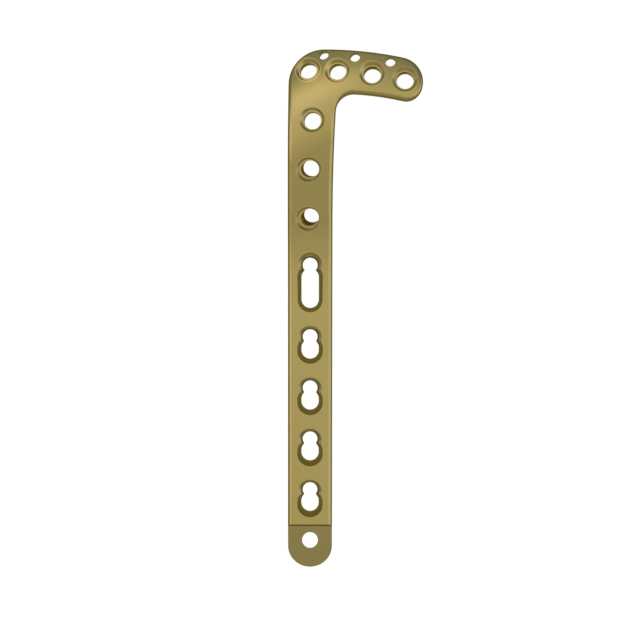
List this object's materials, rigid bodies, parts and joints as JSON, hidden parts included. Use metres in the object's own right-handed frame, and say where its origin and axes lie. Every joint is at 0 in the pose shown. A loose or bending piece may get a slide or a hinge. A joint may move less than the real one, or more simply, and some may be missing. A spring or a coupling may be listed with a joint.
{
  "type": "orthopedic bone plate",
  "caption": "Slim gold bone plate with an offset arm at its head, countersunk screw holes, keyhole-shaped combination holes along the shaft and a sloping tip.",
  "frame": {"origin": "on the centre line of the shaft's flat bone side, half way between the two middle combination holes", "axes": "+Y up the shaft to the head, +X towards the arm, +Z out of the bone"},
  "size_m": [0.0333, 0.1305, 0.0112],
  "materials": {
    "anodised_titanium": "satin gold anodised titanium"
  },
  "bodies": {
    "root": {"bone_plate": "anodised_titanium"}
  },
  "joints": []
}
